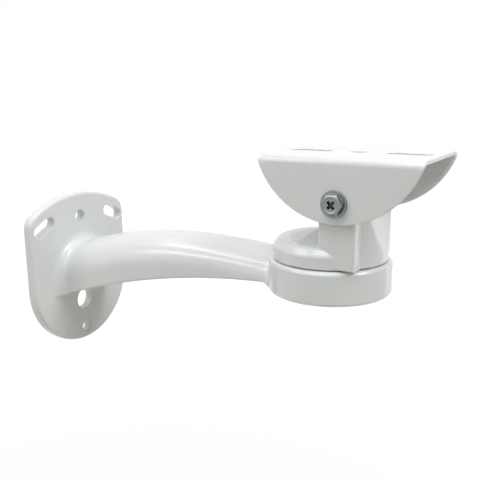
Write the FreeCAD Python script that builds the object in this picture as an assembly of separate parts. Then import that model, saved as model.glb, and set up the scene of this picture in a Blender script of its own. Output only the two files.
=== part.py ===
"""Wall bracket for a small security camera: a cast arm, a head that pans and a saddle that tilts.

Millimetres. X points out of the wall, Y across, Z up. The origin lies on the wall face,
half way between the upper and the lower wall screw.
"""

import FreeCAD, Part
import math
import os

from FreeCAD import Vector

# Wall plate, sized from its two screw holes
WALL_SCREW_PITCH = 58.0
PLATE_ABOVE_SCREW = 11.3
PLATE_BELOW_SCREW = 5.9
PLATE_WIDTH = 63.4
PLATE_THICKNESS = 4.8
PLATE_CROWN_RADIUS = 62.6
PLATE_CORNER_RADIUS = 8.0
PLATE_EDGE_ROUND = 1.5

# Holes in the wall plate
WALL_SCREW_HOLE = 5.8
WALL_SLOT_WIDTH = 5.6
WALL_SLOT_LENGTH = 13.4
WALL_SLOT_INSET = 8.2
WALL_SLOT_BELOW_CROWN = 7.8
CABLE_HOLE = 10.5
CABLE_HOLE_ABOVE_SCREW = 15.2

# Hollow arm, open underneath, with its heights and setbacks measured from the socket
ARM_REACH = 139.0
ARM_WALL = 3.0
ARM_WIDTH_AT_PLATE = 31.0
ARM_WIDTH_AT_SOCKET = 24.6
ARM_CREST_SETBACK = 62.0
ARM_CREST_RISE = 16.5
ARM_CREST_RADIUS_INWARD = 210.0
ARM_CREST_RADIUS_OUTWARD = 385.0
ARM_RIM_SETBACK = 11.5
ARM_RIM_RISE = 2.3
ARM_RIM_RADIUS = 350.0
ARM_ROOT_ROUND = 5.5
ARM_STATIONS = 11
ARM_BLEND_RADIUS = 6.5
ARM_BLEND_STATIONS = 4

# Round socket at the end of the arm
SOCKET_DIAMETER = 48.6
SOCKET_BOTTOM_Z = 11.5
SOCKET_HEIGHT = 13.1
SOCKET_WALL = 4.0
SOCKET_TOP_ROUND = 1.2
SOCKET_BOTTOM_CHAMFER = 0.9
SOCKET_BORE = 30.0
SOCKET_BORE_DEPTH = 3.3
SOCKET_FLOOR = 3.0

# Pan head
DISC_STEP = 1.7
DISC_THICKNESS = 7.7
DISC_EDGE_ROUND = 2.9
SEAT_STEP = 1.2
SEAT_HEIGHT = 0.4
PIVOT_OFFSET_X = 10.6
PIVOT_ABOVE_SOCKET = 25.4
PAD_WIDTH = 14.3
PAD_EDGE_CHAMFER = 0.8
NECK_SETBACK = 4.8
NECK_PROUD = 0.5
NECK_LEAN = 12.0
RAMP_RISE = 7.5
RAMP_SLOPE = 31.5
RAMP_ROUND = 7.0

# Saddle, folded from one sheet
SADDLE_SHEET = 2.0
SADDLE_LENGTH = 62.4
SADDLE_WIDTH = 44.4
SADDLE_ABOVE_PIVOT = 16.5
SADDLE_DROP = 24.1
SADDLE_BEND = 1.0
SADDLE_SLOT_PITCH = 38.0
SADDLE_SLOT_LENGTH = 18.0
SADDLE_SLOT_WIDTH = 6.5
SADDLE_CENTRE_HOLE = 6.6

# Screws with a hexagonal head and a cross recess, each with two washers
SCREW_DIAMETER = 5.0
SCREW_LENGTH = 12.0
SCREW_HEAD_WIDTH = 7.2
SCREW_HEAD_HEIGHT = 1.7
SCREW_HEAD_CHAMFER = 30.0
CROSS_WIDTH = 3.6
CROSS_BLADE = 0.9
CROSS_DEPTH = 1.1
CROSS_TURN = 45.0
FLAT_WASHER_DIAMETER = 10.0
FLAT_WASHER_THICKNESS = 0.7
SPRING_WASHER_DIAMETER = 8.2
SPRING_WASHER_THICKNESS = 0.8
SPRING_WASHER_SPLIT = 0.6

# Clearances
PAN_BORE_CLEARANCE = 0.08
PAN_SEAT_CLEARANCE = 0.1
PAN_FLOOR_CLEARANCE = 0.3
HEAD_POCKET_CLEARANCE = 0.8
CHEEK_CLEARANCE = 0.15
PIVOT_CLEARANCE = 0.08
WASHER_CLEARANCE = 0.05
SCREW_HOLE_CLEARANCE = 0.25
THREAD_CLEARANCE = 0.04
THREAD_RUNOUT = 1.5

# Places worked out from the sizes above
X_AXIS = Vector(1, 0, 0)
Y_AXIS = Vector(0, 1, 0)
Z_AXIS = Vector(0, 0, 1)

PLATE_TOP_Z = WALL_SCREW_PITCH / 2 + PLATE_ABOVE_SCREW
PLATE_BOTTOM_Z = -WALL_SCREW_PITCH / 2 - PLATE_BELOW_SCREW
CABLE_HOLE_Z = CABLE_HOLE_ABOVE_SCREW - WALL_SCREW_PITCH / 2
CROWN_CENTRE_Z = PLATE_TOP_Z - PLATE_CROWN_RADIUS

ARM_CREST_X = ARM_REACH - ARM_CREST_SETBACK
ARM_CREST_Z = SOCKET_BOTTOM_Z + ARM_CREST_RISE
ARM_RIM_LEVEL_X = ARM_REACH - ARM_RIM_SETBACK
ARM_RIM_LEVEL_Z = SOCKET_BOTTOM_Z + ARM_RIM_RISE

SOCKET_TOP_Z = SOCKET_BOTTOM_Z + SOCKET_HEIGHT
SOCKET_FLOOR_TOP_Z = SOCKET_TOP_Z - SOCKET_BORE_DEPTH
SOCKET_FLOOR_BOTTOM_Z = SOCKET_FLOOR_TOP_Z - SOCKET_FLOOR
SOCKET_EDGE_X = ARM_REACH - SOCKET_DIAMETER / 2
SOCKET_INSIDE_X = SOCKET_EDGE_X + 2 * ARM_WALL

BLEND_CENTRE_Y = ARM_WIDTH_AT_SOCKET / 2 + ARM_BLEND_RADIUS
BLEND_RUN = math.sqrt((SOCKET_DIAMETER / 2 + ARM_BLEND_RADIUS) ** 2 - BLEND_CENTRE_Y ** 2)
BLEND_START_X = ARM_REACH - BLEND_RUN
BLEND_END_X = ARM_REACH - BLEND_RUN * SOCKET_DIAMETER / (SOCKET_DIAMETER + 2 * ARM_BLEND_RADIUS)

DISC_DIAMETER = SOCKET_DIAMETER - 2 * DISC_STEP
SEAT_DIAMETER = DISC_DIAMETER - 2 * SEAT_STEP
SEAT_BOTTOM_Z = SOCKET_TOP_Z + PAN_SEAT_CLEARANCE
DISC_BOTTOM_Z = SEAT_BOTTOM_Z + SEAT_HEIGHT
DISC_TOP_Z = DISC_BOTTOM_Z + DISC_THICKNESS

PIVOT_X = ARM_REACH + PIVOT_OFFSET_X
PIVOT_Z = SOCKET_TOP_Z + PIVOT_ABOVE_SOCKET
PAD_HALF = PAD_WIDTH / 2
CHEEK_INNER_Y = SADDLE_WIDTH / 2 - SADDLE_SHEET
PAD_FACE_Y = CHEEK_INNER_Y - CHEEK_CLEARANCE
SADDLE_TOP_Z = PIVOT_Z + SADDLE_ABOVE_PIVOT
WASHER_STACK = FLAT_WASHER_THICKNESS + SPRING_WASHER_THICKNESS


def revolved(points):
    """Turn a closed outline of (radius, height) points about the Z axis."""
    corners = [Vector(radius, 0, height) for radius, height in points]
    outline = Part.makePolygon(corners + corners[:1])
    return Part.Face(outline).revolve(Vector(0, 0, 0), Z_AXIS, 360)


def placed(shape, centre, axis):
    """Move a shape built on the origin along +Z so that it stands on centre along axis."""
    moved = shape.copy()
    moved.Placement = FreeCAD.Placement(centre, FreeCAD.Rotation(Z_AXIS, axis))
    return moved


def polar(centre, radius, angle):
    """Point in the YZ plane of centre, at an angle in degrees from +Y towards +Z."""
    return centre + Vector(0, radius * math.cos(math.radians(angle)), radius * math.sin(math.radians(angle)))


def joined_face(edges):
    """Face bounded by edges given in any order."""
    return Part.Face(Part.Wire(Part.sortEdges(edges)[0]))


def edges_where(shape, test):
    """Edges of a shape whose points all pass a test."""
    return [edge for edge in shape.Edges if all(test(edge.valueAt(t)) for t in samples(edge))]


def samples(edge, count=5):
    """Parameters spread evenly along an edge."""
    return spaced(*edge.ParameterRange, count)


def plate_outline():
    """Wall plate seen from the front: an arched top, straight sides and a half-round foot."""
    half = PLATE_WIDTH / 2
    foot_centre_z = PLATE_BOTTOM_Z + half
    corner_z = CROWN_CENTRE_Z + math.sqrt(PLATE_CROWN_RADIUS ** 2 - half ** 2)
    crown = Part.Arc(Vector(0, half, corner_z), Vector(0, 0, PLATE_TOP_Z), Vector(0, -half, corner_z))
    foot = Part.Arc(Vector(0, -half, foot_centre_z), Vector(0, 0, PLATE_BOTTOM_Z),
                    Vector(0, half, foot_centre_z))
    left = Part.LineSegment(Vector(0, -half, corner_z), Vector(0, -half, foot_centre_z))
    right = Part.LineSegment(Vector(0, half, foot_centre_z), Vector(0, half, corner_z))
    return joined_face([crown.toShape(), left.toShape(), foot.toShape(), right.toShape()])


def wall_plate():
    """Flat plate with rounded corners and a rounded front edge."""
    plate = plate_outline().extrude(Vector(PLATE_THICKNESS, 0, 0))
    half = PLATE_WIDTH / 2
    corner_z = CROWN_CENTRE_Z + math.sqrt(PLATE_CROWN_RADIUS ** 2 - half ** 2)
    corners = edges_where(plate, lambda p: abs(abs(p.y) - half) < 0.01 and abs(p.z - corner_z) < 0.01)
    plate = plate.makeFillet(PLATE_CORNER_RADIUS, corners)
    front = edges_where(plate, lambda p: abs(p.x - PLATE_THICKNESS) < 0.01)
    return plate.makeFillet(PLATE_EDGE_ROUND, front)


def wall_slot(side):
    """Slot that follows the crown of the plate, on the side given by the sign."""
    radius = PLATE_CROWN_RADIUS - WALL_SLOT_BELOW_CROWN
    half_width = WALL_SLOT_WIDTH / 2
    crown_centre = Vector(0, 0, CROWN_CENTRE_Z)
    middle = math.degrees(math.acos(side * (PLATE_WIDTH / 2 - WALL_SLOT_INSET) / radius))
    swing = math.degrees((WALL_SLOT_LENGTH - WALL_SLOT_WIDTH) / 2 / radius)
    low = middle - swing
    high = middle + swing
    edges = [Part.Arc(*[polar(crown_centre, r, angle) for angle in (low, middle, high)]).toShape()
             for r in (radius - half_width, radius + half_width)]
    for angle, outward in ((low, -90), (high, 90)):
        end_centre = polar(crown_centre, radius, angle)
        bend = [polar(end_centre, half_width, angle + turn) for turn in (180, outward, 0)]
        edges.append(Part.Arc(*bend).toShape())
    return joined_face(edges).extrude(Vector(PLATE_THICKNESS, 0, 0))


def wall_holes():
    """Two wall screw holes, the cable hole and the two slots."""
    def drill(diameter, z):
        return Part.makeCylinder(diameter / 2, PLATE_THICKNESS, Vector(0, 0, z), X_AXIS)

    holes = [drill(WALL_SCREW_HOLE, sign * WALL_SCREW_PITCH / 2) for sign in (-1, 1)]
    holes.append(drill(CABLE_HOLE, CABLE_HOLE_Z))
    return holes + [wall_slot(side) for side in (-1, 1)]


def arm_crown_z(x):
    """Height of the arm's back at x: two arcs that meet level at the crest."""
    run = x - ARM_CREST_X
    radius = ARM_CREST_RADIUS_INWARD if run < 0 else ARM_CREST_RADIUS_OUTWARD
    return ARM_CREST_Z - radius + math.sqrt(radius ** 2 - run ** 2)


def arm_rim_z(x):
    """Height of the arm's open lower rim at x: one arc that is level near the socket."""
    run = x - ARM_RIM_LEVEL_X
    return ARM_RIM_LEVEL_Z - ARM_RIM_RADIUS + math.sqrt(ARM_RIM_RADIUS ** 2 - run ** 2)


def arm_half_width(x):
    """Half the arm's width at x: it narrows smoothly from the plate and flares out at the socket."""
    along = min(max((x - PLATE_THICKNESS) / (BLEND_START_X - PLATE_THICKNESS), 0), 1)
    ease = along * along * (3 - 2 * along)
    half = (ARM_WIDTH_AT_PLATE + (ARM_WIDTH_AT_SOCKET - ARM_WIDTH_AT_PLATE) * ease) / 2
    blend = min(max(x - BLEND_START_X, 0), BLEND_END_X - BLEND_START_X)
    return half + ARM_BLEND_RADIUS - math.sqrt(ARM_BLEND_RADIUS ** 2 - blend ** 2)


def arch_section(x, inset, foot_z):
    """Arch across the arm at x: a half circle on two straight legs that end at foot_z."""
    half = arm_half_width(x) - inset
    top = arm_crown_z(x) - inset
    spring = top - half
    arch = Part.Arc(Vector(x, half, spring), Vector(x, 0, top), Vector(x, -half, spring))
    left = Part.LineSegment(Vector(x, -half, spring), Vector(x, -half, foot_z))
    foot = Part.LineSegment(Vector(x, -half, foot_z), Vector(x, half, foot_z))
    right = Part.LineSegment(Vector(x, half, foot_z), Vector(x, half, spring))
    return Part.Wire([arch.toShape(), left.toShape(), foot.toShape(), right.toShape()])


def spaced(first, last, count):
    """Numbers spaced evenly from first to last."""
    return [first + (last - first) * i / (count - 1) for i in range(count)]


def arm_loft(stations, inset, drop):
    """Solid through arches at the stations, whose legs reach a drop below the rim."""
    return Part.makeLoft([arch_section(x, inset, arm_rim_z(x) - drop) for x in stations], True, True)


def below_rim():
    """Everything under the arm's rim, which dips to the socket's underside at the blend."""
    floor_z = PLATE_BOTTOM_Z * 2
    places = [Vector(x, 0, arm_rim_z(x)) for x in spaced(PLATE_THICKNESS, BLEND_START_X, 3)]
    dip = Vector(BLEND_END_X, 0, SOCKET_BOTTOM_Z)
    middle = (places[2] + dip) / 2 + Z_AXIS * (places[2].z - dip.z) / 5
    rim = [Part.Arc(*places).toShape(), Part.Arc(places[2], middle, dip).toShape()]
    inside = Vector(SOCKET_INSIDE_X, 0, 0)
    root = Vector(PLATE_THICKNESS, 0, floor_z)
    corners = [dip, inside + Z_AXIS * SOCKET_BOTTOM_Z, inside + Z_AXIS * floor_z, root, places[0]]
    face = joined_face(rim + Part.makePolygon(corners).Edges)
    face.translate(Vector(0, -PLATE_WIDTH, 0))
    return face.extrude(Vector(0, PLATE_WIDTH * 2, 0))


def socket_cup():
    """Round socket with a rounded top edge and a broken lower one, before it is bored."""
    cup = Part.makeCylinder(SOCKET_DIAMETER / 2, SOCKET_HEIGHT, Vector(ARM_REACH, 0, SOCKET_BOTTOM_Z))
    top = edges_where(cup, lambda p: abs(p.z - SOCKET_TOP_Z) < 0.01)
    cup = cup.makeFillet(SOCKET_TOP_ROUND, top)
    bottom = edges_where(cup, lambda p: abs(p.z - SOCKET_BOTTOM_Z) < 0.01)
    return cup.makeChamfer(SOCKET_BOTTOM_CHAMFER, bottom)


def socket_bores():
    """Bore for the pan head, screw hole, recess below the floor and pocket beside the head."""
    middle = Vector(ARM_REACH, 0, 0)

    def cylinder(diameter, bottom, top):
        return Part.makeCylinder(diameter / 2, top - bottom, middle + Vector(0, 0, bottom))

    pocket_top = ARM_CREST_Z + ARM_WALL
    return [
        cylinder(SOCKET_BORE, SOCKET_FLOOR_TOP_Z, pocket_top),
        cylinder(SCREW_DIAMETER + 2 * SCREW_HOLE_CLEARANCE, SOCKET_BOTTOM_Z, pocket_top),
        cylinder(SOCKET_DIAMETER - 2 * SOCKET_WALL, SOCKET_BOTTOM_Z, SOCKET_FLOOR_BOTTOM_Z),
        cylinder(DISC_DIAMETER + 2 * HEAD_POCKET_CLEARANCE, SOCKET_TOP_Z, pocket_top),
    ]


def wall_arm():
    """The one casting: wall plate, hollow arm and round socket."""
    straight = spaced(PLATE_THICKNESS / 2, BLEND_START_X, ARM_STATIONS)
    blend = spaced(BLEND_START_X, BLEND_END_X, ARM_BLEND_STATIONS)[1:]
    outer = arm_loft(straight + blend + [SOCKET_INSIDE_X], 0, ARM_WALL * 3)
    body = wall_plate().fuse(outer)
    half = ARM_WIDTH_AT_PLATE / 2
    rim_z = arm_rim_z(PLATE_THICKNESS)
    root = edges_where(body, lambda p: abs(p.x - PLATE_THICKNESS) < 0.01 and abs(p.y) < half + 0.5
                       and p.z < arm_crown_z(PLATE_THICKNESS) + 0.5)
    root = [edge for edge in root if edge.CenterOfMass.z > rim_z - ARM_WALL]
    body = body.makeFillet(ARM_ROOT_ROUND, root)
    body = body.cut(below_rim())
    body = body.fuse(socket_cup())
    cavity = arm_loft(spaced(PLATE_THICKNESS, SOCKET_EDGE_X, ARM_STATIONS), ARM_WALL, ARM_WALL * 4)
    body = body.cut(cavity.cut(socket_cup()))
    for tool in wall_holes() + socket_bores():
        body = body.cut(tool)
    return body.removeSplitter()


def neck_outline():
    """Neck seen from the side: round at the pivot, leaning in front, with a ramp behind."""
    lean = math.radians(NECK_LEAN)
    slope = math.radians(RAMP_SLOPE)
    back_x = PIVOT_X - PAD_HALF
    ramp_top_z = DISC_TOP_Z + RAMP_RISE
    ramp_foot_x = back_x - RAMP_RISE / math.tan(slope)
    base_z = DISC_BOTTOM_Z + DISC_THICKNESS / 2
    reach = PAD_HALF + NECK_PROUD
    front = Vector(PIVOT_X + reach * math.cos(lean), 0, PIVOT_Z + reach * math.sin(lean))
    front_foot = Vector(front.x + (front.z - base_z) * math.tan(lean), 0, base_z)
    back = Vector(back_x, 0, PIVOT_Z)
    top = Vector(PIVOT_X, 0, PIVOT_Z + PAD_HALF)
    edges = [
        Part.Arc(front, top, back).toShape(),
        Part.LineSegment(back, Vector(back_x, 0, ramp_top_z)).toShape(),
        Part.LineSegment(Vector(back_x, 0, ramp_top_z), Vector(ramp_foot_x, 0, DISC_TOP_Z)).toShape(),
        Part.LineSegment(Vector(ramp_foot_x, 0, DISC_TOP_Z), Vector(ramp_foot_x, 0, base_z)).toShape(),
        Part.LineSegment(Vector(ramp_foot_x, 0, base_z), front_foot).toShape(),
        Part.LineSegment(front_foot, front).toShape(),
    ]
    return joined_face(edges)


def across(face, depth):
    """Extrude a face in the XZ plane by half a depth to each side."""
    face.translate(Vector(0, -depth / 2, 0))
    return face.extrude(Vector(0, depth, 0))


def pad_outline():
    """Pad seen from the front: an upright with a round top about the pivot."""
    left = PIVOT_X - PAD_HALF
    right = PIVOT_X + PAD_HALF
    edges = [
        Part.Arc(Vector(right, 0, PIVOT_Z), Vector(PIVOT_X, 0, PIVOT_Z + PAD_HALF),
                 Vector(left, 0, PIVOT_Z)).toShape(),
        Part.LineSegment(Vector(left, 0, PIVOT_Z), Vector(left, 0, DISC_BOTTOM_Z)).toShape(),
        Part.LineSegment(Vector(left, 0, DISC_BOTTOM_Z), Vector(right, 0, DISC_BOTTOM_Z)).toShape(),
        Part.LineSegment(Vector(right, 0, DISC_BOTTOM_Z), Vector(right, 0, PIVOT_Z)).toShape(),
    ]
    return joined_face(edges)


def pan_head():
    """Casting that turns on the socket: disc, spigot, neck and the two pads of the pivot."""
    middle = Vector(ARM_REACH, 0, 0)
    disc = Part.makeCylinder(DISC_DIAMETER / 2, DISC_THICKNESS, middle + Vector(0, 0, DISC_BOTTOM_Z))
    rim = edges_where(disc, lambda p: abs(p.z - DISC_TOP_Z) < 0.01)
    disc = disc.makeFillet(DISC_EDGE_ROUND, rim)
    spigot_bottom_z = SOCKET_FLOOR_TOP_Z + PAN_FLOOR_CLEARANCE
    spigot = Part.makeCylinder(SOCKET_BORE / 2 - PAN_BORE_CLEARANCE, DISC_BOTTOM_Z - spigot_bottom_z,
                               middle + Vector(0, 0, spigot_bottom_z))
    seat = Part.makeCylinder(SEAT_DIAMETER / 2, SEAT_HEIGHT, middle + Vector(0, 0, SEAT_BOTTOM_Z))
    column = Part.makeCylinder(DISC_DIAMETER / 2, PIVOT_Z, middle)
    neck = across(neck_outline(), 2 * (PAD_FACE_Y - NECK_SETBACK))
    ramp_top = edges_where(neck, lambda p: abs(p.x - PIVOT_X + PAD_HALF) < 0.01
                           and abs(p.z - DISC_TOP_Z - RAMP_RISE) < 0.01)
    neck = neck.makeFillet(RAMP_ROUND, ramp_top).common(column)
    pads = across(pad_outline(), PAD_FACE_Y * 2)
    upright = [edge for edge in edges_where(pads, lambda p: abs(abs(p.y) - PAD_FACE_Y) < 0.01)
               if edge.CenterOfMass.z > DISC_BOTTOM_Z + 0.01]
    pads = pads.makeChamfer(PAD_EDGE_CHAMFER, upright)
    head = disc.fuse([spigot, seat, neck, pads])
    for tool in head_holes():
        head = head.cut(tool)
    return head.removeSplitter()


def head_holes():
    """Threaded holes for the pan screw and the two pivot screws."""
    radius = SCREW_DIAMETER / 2 + THREAD_CLEARANCE
    pan_tip_z = SOCKET_FLOOR_BOTTOM_Z - WASHER_CLEARANCE - WASHER_STACK + SCREW_LENGTH + THREAD_RUNOUT
    pan_hole = Part.makeCylinder(radius, pan_tip_z - SOCKET_FLOOR_TOP_Z,
                                 Vector(ARM_REACH, 0, SOCKET_FLOOR_TOP_Z))
    reach = SADDLE_WIDTH / 2 + WASHER_CLEARANCE + WASHER_STACK - SCREW_LENGTH - THREAD_RUNOUT
    pivot_holes = [Part.makeCylinder(radius, PAD_FACE_Y - reach, Vector(PIVOT_X, side * reach, PIVOT_Z),
                                     Y_AXIS * side) for side in (-1, 1)]
    return [pan_hole] + pivot_holes


def saddle():
    """Folded saddle: a flat top and two cheeks cut to one arc that starts under the sheet."""
    half = SADDLE_WIDTH / 2
    bottom_z = SADDLE_TOP_Z - SADDLE_DROP
    outer = Part.makeBox(SADDLE_LENGTH, SADDLE_WIDTH, SADDLE_DROP,
                         Vector(PIVOT_X - SADDLE_LENGTH / 2, -half, bottom_z))
    inner = Part.makeBox(SADDLE_LENGTH, SADDLE_WIDTH - 2 * SADDLE_SHEET, SADDLE_DROP - SADDLE_SHEET,
                         Vector(PIVOT_X - SADDLE_LENGTH / 2, -CHEEK_INNER_Y, bottom_z))
    outer = outer.makeFillet(SADDLE_BEND + SADDLE_SHEET,
                             edges_where(outer, lambda p: abs(abs(p.y) - half) < 0.01
                                         and abs(p.z - SADDLE_TOP_Z) < 0.01))
    inner = inner.makeFillet(SADDLE_BEND,
                             edges_where(inner, lambda p: abs(abs(p.y) - CHEEK_INNER_Y) < 0.01
                                         and abs(p.z - SADDLE_TOP_Z + SADDLE_SHEET) < 0.01))
    depth = SADDLE_DROP - SADDLE_SHEET
    arc_radius = (depth ** 2 + (SADDLE_LENGTH / 2) ** 2) / (2 * depth)
    cheeks = Part.makeCylinder(arc_radius, SADDLE_WIDTH * 2,
                               Vector(PIVOT_X, -SADDLE_WIDTH, bottom_z + arc_radius), Y_AXIS)
    top = Part.makeBox(SADDLE_LENGTH, SADDLE_WIDTH, SADDLE_SHEET,
                       Vector(PIVOT_X - SADDLE_LENGTH / 2, -half, SADDLE_TOP_Z - SADDLE_SHEET))
    sheet = outer.cut(inner).common(cheeks.fuse(top))
    for tool in saddle_openings():
        sheet = sheet.cut(tool)
    return sheet.removeSplitter()


def saddle_openings():
    """Two slots and a hole in the flat top, and the pivot holes in the cheeks."""
    top = Vector(PIVOT_X, 0, SADDLE_TOP_Z - SADDLE_SHEET)
    straight = SADDLE_SLOT_LENGTH - SADDLE_SLOT_WIDTH
    tools = [Part.makeCylinder(SADDLE_CENTRE_HOLE / 2, SADDLE_SHEET, top)]
    for side in (-1, 1):
        middle = top + X_AXIS * (side * SADDLE_SLOT_PITCH / 2)
        corner = middle - Vector(straight / 2, SADDLE_SLOT_WIDTH / 2, 0)
        slot = Part.makeBox(straight, SADDLE_SLOT_WIDTH, SADDLE_SHEET, corner)
        ends = [Part.makeCylinder(SADDLE_SLOT_WIDTH / 2, SADDLE_SHEET, middle + X_AXIS * (end * straight / 2))
                for end in (-1, 1)]
        tools.append(slot.fuse(ends))
    tools.append(Part.makeCylinder(SCREW_DIAMETER / 2 + PIVOT_CLEARANCE, SADDLE_WIDTH * 2,
                                   Vector(PIVOT_X, -SADDLE_WIDTH, PIVOT_Z), Y_AXIS))
    return tools


def hex_screw(seat, axis):
    """Screw whose head stands on seat; axis points from the seat through the head."""
    across_corners = SCREW_HEAD_WIDTH / math.cos(math.radians(30))
    corners = [Vector(across_corners / 2 * math.cos(math.radians(60 * i)),
                      across_corners / 2 * math.sin(math.radians(60 * i)), 0) for i in range(6)]
    head = Part.Face(Part.makePolygon(corners + corners[:1])).extrude(Vector(0, 0, SCREW_HEAD_HEIGHT))
    bevel = (across_corners - SCREW_HEAD_WIDTH * 0.95) / 2 * math.tan(math.radians(SCREW_HEAD_CHAMFER))
    crown = revolved([(0, 0), (across_corners / 2, 0), (across_corners / 2, SCREW_HEAD_HEIGHT - bevel),
                      (SCREW_HEAD_WIDTH * 0.95 / 2, SCREW_HEAD_HEIGHT), (0, SCREW_HEAD_HEIGHT)])
    head = head.common(crown)
    for turn in (CROSS_TURN, CROSS_TURN + 90):
        blade = Part.makeBox(CROSS_WIDTH, CROSS_BLADE, CROSS_DEPTH,
                             Vector(-CROSS_WIDTH / 2, -CROSS_BLADE / 2, SCREW_HEAD_HEIGHT - CROSS_DEPTH))
        blade.rotate(Vector(0, 0, 0), Z_AXIS, turn)
        head = head.cut(blade)
    shank = Part.makeCylinder(SCREW_DIAMETER / 2, SCREW_LENGTH, Vector(0, 0, -SCREW_LENGTH))
    tip = edges_where(shank, lambda p: abs(p.z + SCREW_LENGTH) < 0.01)
    shank = shank.makeChamfer(SCREW_DIAMETER / 8, tip)
    return placed(head.fuse(shank).removeSplitter(), seat, axis)


def washer(diameter, thickness, seat, axis, split=0):
    """Flat ring that stands on seat along axis, cut through on one side if split is given."""
    hole = SCREW_DIAMETER / 2 + SCREW_HOLE_CLEARANCE
    ring = revolved([(hole, 0), (diameter / 2, 0), (diameter / 2, thickness), (hole, thickness)])
    if split:
        gap = Part.makeBox(diameter, split, thickness, Vector(0, -split / 2, 0))
        ring = ring.cut(gap)
    return placed(ring, seat, axis)


def screw_set(name, seat, axis):
    """Screw, spring washer and flat washer, stacked outwards from seat along axis."""
    flat = washer(FLAT_WASHER_DIAMETER, FLAT_WASHER_THICKNESS, seat, axis)
    spring_seat = seat + axis * FLAT_WASHER_THICKNESS
    spring = washer(SPRING_WASHER_DIAMETER, SPRING_WASHER_THICKNESS, spring_seat, axis, SPRING_WASHER_SPLIT)
    head_seat = spring_seat + axis * SPRING_WASHER_THICKNESS
    return {
        name + "_screw": hex_screw(head_seat, axis),
        name + "_spring_washer": spring,
        name + "_flat_washer": flat,
    }


def build():
    """All the pieces of the bracket by name."""
    parts = {"wall_arm": wall_arm(), "pan_head": pan_head(), "saddle": saddle()}
    pan_seat = Vector(ARM_REACH, 0, SOCKET_FLOOR_BOTTOM_Z - WASHER_CLEARANCE)
    parts.update(screw_set("pan", pan_seat, -Z_AXIS))
    cheek_y = SADDLE_WIDTH / 2 + WASHER_CLEARANCE
    for name, side in (("front_pivot", -1), ("rear_pivot", 1)):
        seat = Vector(PIVOT_X, side * cheek_y, PIVOT_Z)
        parts.update(screw_set(name, seat, Y_AXIS * side))
    return parts


os.makedirs("parts", exist_ok=True)
for node, shape in build().items():
    solid = shape.Solids[0]
    state = "valid" if shape.isValid() else "BROKEN"
    print(node, len(shape.Solids), "solid,", round(solid.Volume, 1), "mm3,", state)
    solid.exportStep("parts/" + node + ".step")
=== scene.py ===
"""Looks of a wall bracket for a security camera, built around its packed construction frame.

Sizes are in millimetres and are turned to metres where a mesh is made. X points out of the wall,
Y across, Z up; the origin lies on the wall face, half way between the two wall screws.
"""

import logging
import math
from collections.abc import Callable
from dataclasses import dataclass, replace
from enum import Enum

import bmesh
import bpy
import numpy as np
from mathutils import Matrix, Vector
from mathutils.geometry import delaunay_2d_cdt


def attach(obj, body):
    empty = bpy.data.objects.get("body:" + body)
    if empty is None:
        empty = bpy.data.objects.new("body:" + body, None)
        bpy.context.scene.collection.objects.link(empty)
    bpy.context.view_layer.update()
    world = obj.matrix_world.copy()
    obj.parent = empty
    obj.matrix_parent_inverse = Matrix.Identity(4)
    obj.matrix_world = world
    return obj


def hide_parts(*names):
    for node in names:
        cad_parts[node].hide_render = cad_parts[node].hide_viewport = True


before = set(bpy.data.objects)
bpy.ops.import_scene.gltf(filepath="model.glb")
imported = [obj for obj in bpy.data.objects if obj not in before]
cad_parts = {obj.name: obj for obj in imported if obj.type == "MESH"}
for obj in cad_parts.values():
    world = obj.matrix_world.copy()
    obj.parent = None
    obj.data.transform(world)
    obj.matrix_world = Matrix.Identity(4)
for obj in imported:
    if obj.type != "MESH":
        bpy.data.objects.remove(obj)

LOG = logging.getLogger("wall_bracket")
METRES = 0.001
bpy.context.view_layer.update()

Array = np.ndarray
Pair = tuple[float, float]
Triple = tuple[float, float, float]
Inputs = dict[str, object] | list[object] | tuple[object, ...]

# The pan axis's x, the tilt axis's x and z, and where the screws' flat washers stand.
PAN_X = 139.0
PIVOT = (149.6, 50.0)
PIVOT_SEAT_Y = 22.25
PAN_SEAT_Z = 18.25

# Lengths within which two points are one, on a line and in a mesh.
SAME_POINT = 1e-5
MERGED = 0.002

WHITE = (1.0, 1.0, 1.0, 1.0)


class Axis(Enum):
    """Row axis that a piece is built along."""

    X = 0
    Y = 1
    Z = 2


class Body(Enum):
    """Moving bodies of the bracket."""

    ARM = "arm"
    HEAD = "head"
    SADDLE = "saddle"


class Slot(Enum):
    """Material slots of the record."""

    PAINT = "white_paint"
    ZINC = "zinc"


class Join(Enum):
    """Ways to combine two solids."""

    ADD = "UNION"
    CUT = "DIFFERENCE"


def grid_faces(rows: int, columns: int, ring: bool = True) -> list[list[int]]:
    """Quads between the neighbouring points of a grid.

    Args:
        rows: number of rows.
        columns: number of points in a row.
        ring: whether each row closes on its first point.

    Returns:
        Four point numbers for each quad.
    """
    last = columns if ring else columns - 1
    row, column = np.meshgrid(np.arange(rows - 1), np.arange(last), indexing="ij")
    here = row * columns + column
    beside = row * columns + (column + 1) % columns
    quads = np.stack([here, beside, beside + columns, here + columns], axis=-1)
    return quads.reshape(-1, 4).tolist()


def capped_faces(rows: int, columns: int) -> list[list[int]]:
    """Quads of a grid of closed rows, with one face over the first row and one over the last."""
    last = (rows - 1) * columns
    return grid_faces(rows, columns) + [[*range(columns)], [*range(last, last + columns)]]


def arc(centre: Pair, radius: float, start: float, end: float, steps: int) -> Array:
    """Points on a circle: centre + radius (cos a, sin a), with a in degrees from start to end."""
    angle = np.radians(np.linspace(start, end, steps))
    return np.array(centre) + radius * np.stack([np.cos(angle), np.sin(angle)], axis=-1)


def joined(*lines: Array) -> Array:
    """Closed line of several laid end to end, without points that repeat the one before."""
    line = np.concatenate(lines)
    return line[np.linalg.norm(line - np.roll(line, 1, axis=0), axis=1) > SAME_POINT]


def circle(centre: Pair, radius: float, steps: int) -> Array:
    """Closed circle of one point fewer than the steps."""
    return joined(arc(centre, radius, 0.0, 360.0, steps))


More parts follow.
